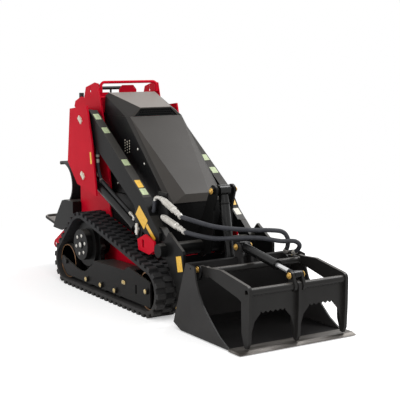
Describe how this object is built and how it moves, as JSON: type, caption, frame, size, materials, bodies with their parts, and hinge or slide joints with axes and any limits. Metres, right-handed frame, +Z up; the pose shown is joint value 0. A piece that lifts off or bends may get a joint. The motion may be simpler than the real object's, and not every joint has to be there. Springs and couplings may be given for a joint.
{
  "type": "mini skid steer loader",
  "caption": "Compact walk-behind loader on rubber tracks, with radial lift arms, a stand-on platform, a hinged hood and a grapple bucket.",
  "frame": {"origin": "centre of the machine's footprint at the floor, midway between the platform's loop and the cutting edge", "axes": "+X forward, +Y to the machine's left, +Z up"},
  "size_m": [2.82, 0.84, 1.4303],
  "materials": {
    "rubber": "worn black rubber",
    "black_paint": "gloss black paint",
    "zinc": "yellow zinc plate",
    "red_paint": "satin red paint",
    "grey_paint": "satin dark grey paint",
    "black_plastic": "matt black plastic",
    "mesh": "black perforated sheet",
    "coupler_steel": "plated steel",
    "hose_rubber": "black hose rubber",
    "rod_chrome": "hard chrome",
    "edge_steel": "bare steel"
  },
  "bodies": {
    "base": {"track_right": "rubber", "track_left": "rubber", "track_frame_right": "black_paint", "track_frame_left": "black_paint", "sprocket_right": "black_paint", "sprocket_left": "black_paint", "rollers_right": "black_paint", "rollers_left": "black_paint", "chassis_frame": "red_paint", "side_panels": "red_paint", "front_brackets": "red_paint", "rear_plates": "red_paint", "engine_bay": "black_paint", "engine": "grey_paint", "tower_right": "red_paint", "tower_left": "red_paint", "pivot_pins": "zinc", "console": "red_paint", "guard_bar": "red_paint", "controls": "black_plastic", "thigh_pad": "black_plastic", "platform_base": "black_paint"},
    "platform": {"platform": "grey_paint"},
    "hood": {"hood_main": "grey_paint", "hood_top": "grey_paint", "hood_mesh": "mesh"},
    "arms": {"arm_right": "black_paint", "arm_left": "black_paint", "cross_tube": "black_paint", "gooseneck_right": "black_paint", "gooseneck_left": "black_paint", "tilt_bracket": "black_paint", "coupler_bracket": "black_paint", "couplers": "coupler_steel", "hose_upper": "hose_rubber", "hose_lower": "hose_rubber"},
    "lift_barrel_right": {"lift_barrel_right": "black_paint"},
    "lift_rod_right": {"lift_rod_right": "rod_chrome"},
    "lift_barrel_left": {"lift_barrel_left": "black_paint"},
    "lift_rod_left": {"lift_rod_left": "rod_chrome"},
    "tilt_barrel": {"tilt_barrel": "black_paint"},
    "tilt_rod": {"tilt_rod": "rod_chrome"},
    "bucket": {"mount_plate": "black_paint", "bucket": "black_paint", "cutting_edge": "edge_steel"},
    "grapple_barrel": {"grapple_barrel": "black_paint"},
    "grapple_rod": {"grapple_rod": "rod_chrome"},
    "grapple": {"grapple_frame": "black_paint", "grapple_tines": "black_paint"}
  },
  "joints": [
    {"name": "lift", "type": "hinge", "parent": "base", "child": "arms", "pos_m": [-0.592, 0, 1.168], "axis": [0, -1, 0], "range_deg": [0, 73]},
    {"name": "lift_barrel_right_swing", "type": "hinge", "parent": "base", "child": "lift_barrel_right", "pos_m": [-0.564, -0.305, 0.787], "axis": [0, -1, 0], "range_deg": [0, 69.61]},
    {"name": "lift_rod_right_stroke", "type": "slide", "parent": "lift_barrel_right", "child": "lift_rod_right", "axis": [0.9214, 0, -0.3886], "range_m": [0, 0.4508]},
    {"name": "lift_barrel_left_swing", "type": "hinge", "parent": "base", "child": "lift_barrel_left", "pos_m": [-0.564, 0.305, 0.787], "axis": [0, -1, 0], "range_deg": [0, 69.61]},
    {"name": "lift_rod_left_stroke", "type": "slide", "parent": "lift_barrel_left", "child": "lift_rod_left", "axis": [0.9214, 0, -0.3886], "range_m": [0, 0.4508]},
    {"name": "bucket_tilt", "type": "hinge", "parent": "arms", "child": "bucket", "pos_m": [0.674, 0, 0.11], "axis": [0, 1, 0], "range_deg": [-15, 115], "deforming": ["hose_upper", "hose_lower"]},
    {"name": "tilt_barrel_swing", "type": "hinge", "parent": "arms", "child": "tilt_barrel", "pos_m": [0.629, 0, 0.793], "axis": [0, -1, 0], "range_deg": [-0.47, 3.24]},
    {"name": "tilt_rod_stroke", "type": "slide", "parent": "tilt_barrel", "child": "tilt_rod", "axis": [0.1872, 0, -0.9823], "range_m": [-0.0441, 0.337]},
    {"name": "grapple_open", "type": "hinge", "parent": "bucket", "child": "grapple", "pos_m": [0.871, 0, 0.38], "axis": [0, -1, 0], "range_deg": [0, 55]},
    {"name": "grapple_barrel_swing", "type": "hinge", "parent": "bucket", "child": "grapple_barrel", "pos_m": [0.844, 0, 0.48], "axis": [0, -1, 0], "range_deg": [0, 55.83]},
    {"name": "grapple_rod_stroke", "type": "slide", "parent": "grapple_barrel", "child": "grapple_rod", "axis": [0.988, 0, -0.1545], "range_m": [-0.0956, 0]},
    {"name": "hood_open", "type": "hinge", "parent": "base", "child": "hood", "pos_m": [-0.541, 0, 1.318], "axis": [0, -1, 0], "range_deg": [0, 50]},
    {"name": "platform_fold", "type": "hinge", "parent": "base", "child": "platform", "pos_m": [-1.171, 0, 0.352], "axis": [0, 1, 0], "range_deg": [0, 80]}
  ],
  "couplings": [
    {"joint": "lift_barrel_right_swing", "follows": "lift", "ratio": 0.95286},
    {"joint": "lift_rod_right_stroke", "follows": "lift", "m_per_rad": 0.35364},
    {"joint": "lift_barrel_left_swing", "follows": "lift", "ratio": 0.95286},
    {"joint": "lift_rod_left_stroke", "follows": "lift", "m_per_rad": 0.35364},
    {"joint": "tilt_barrel_swing", "follows": "bucket_tilt", "ratio": 0.02778},
    {"joint": "tilt_rod_stroke", "follows": "bucket_tilt", "m_per_rad": 0.16782},
    {"joint": "grapple_barrel_swing", "follows": "grapple_open", "ratio": 1.0142},
    {"joint": "grapple_rod_stroke", "follows": "grapple_open", "m_per_rad": -0.09942}
  ]
}
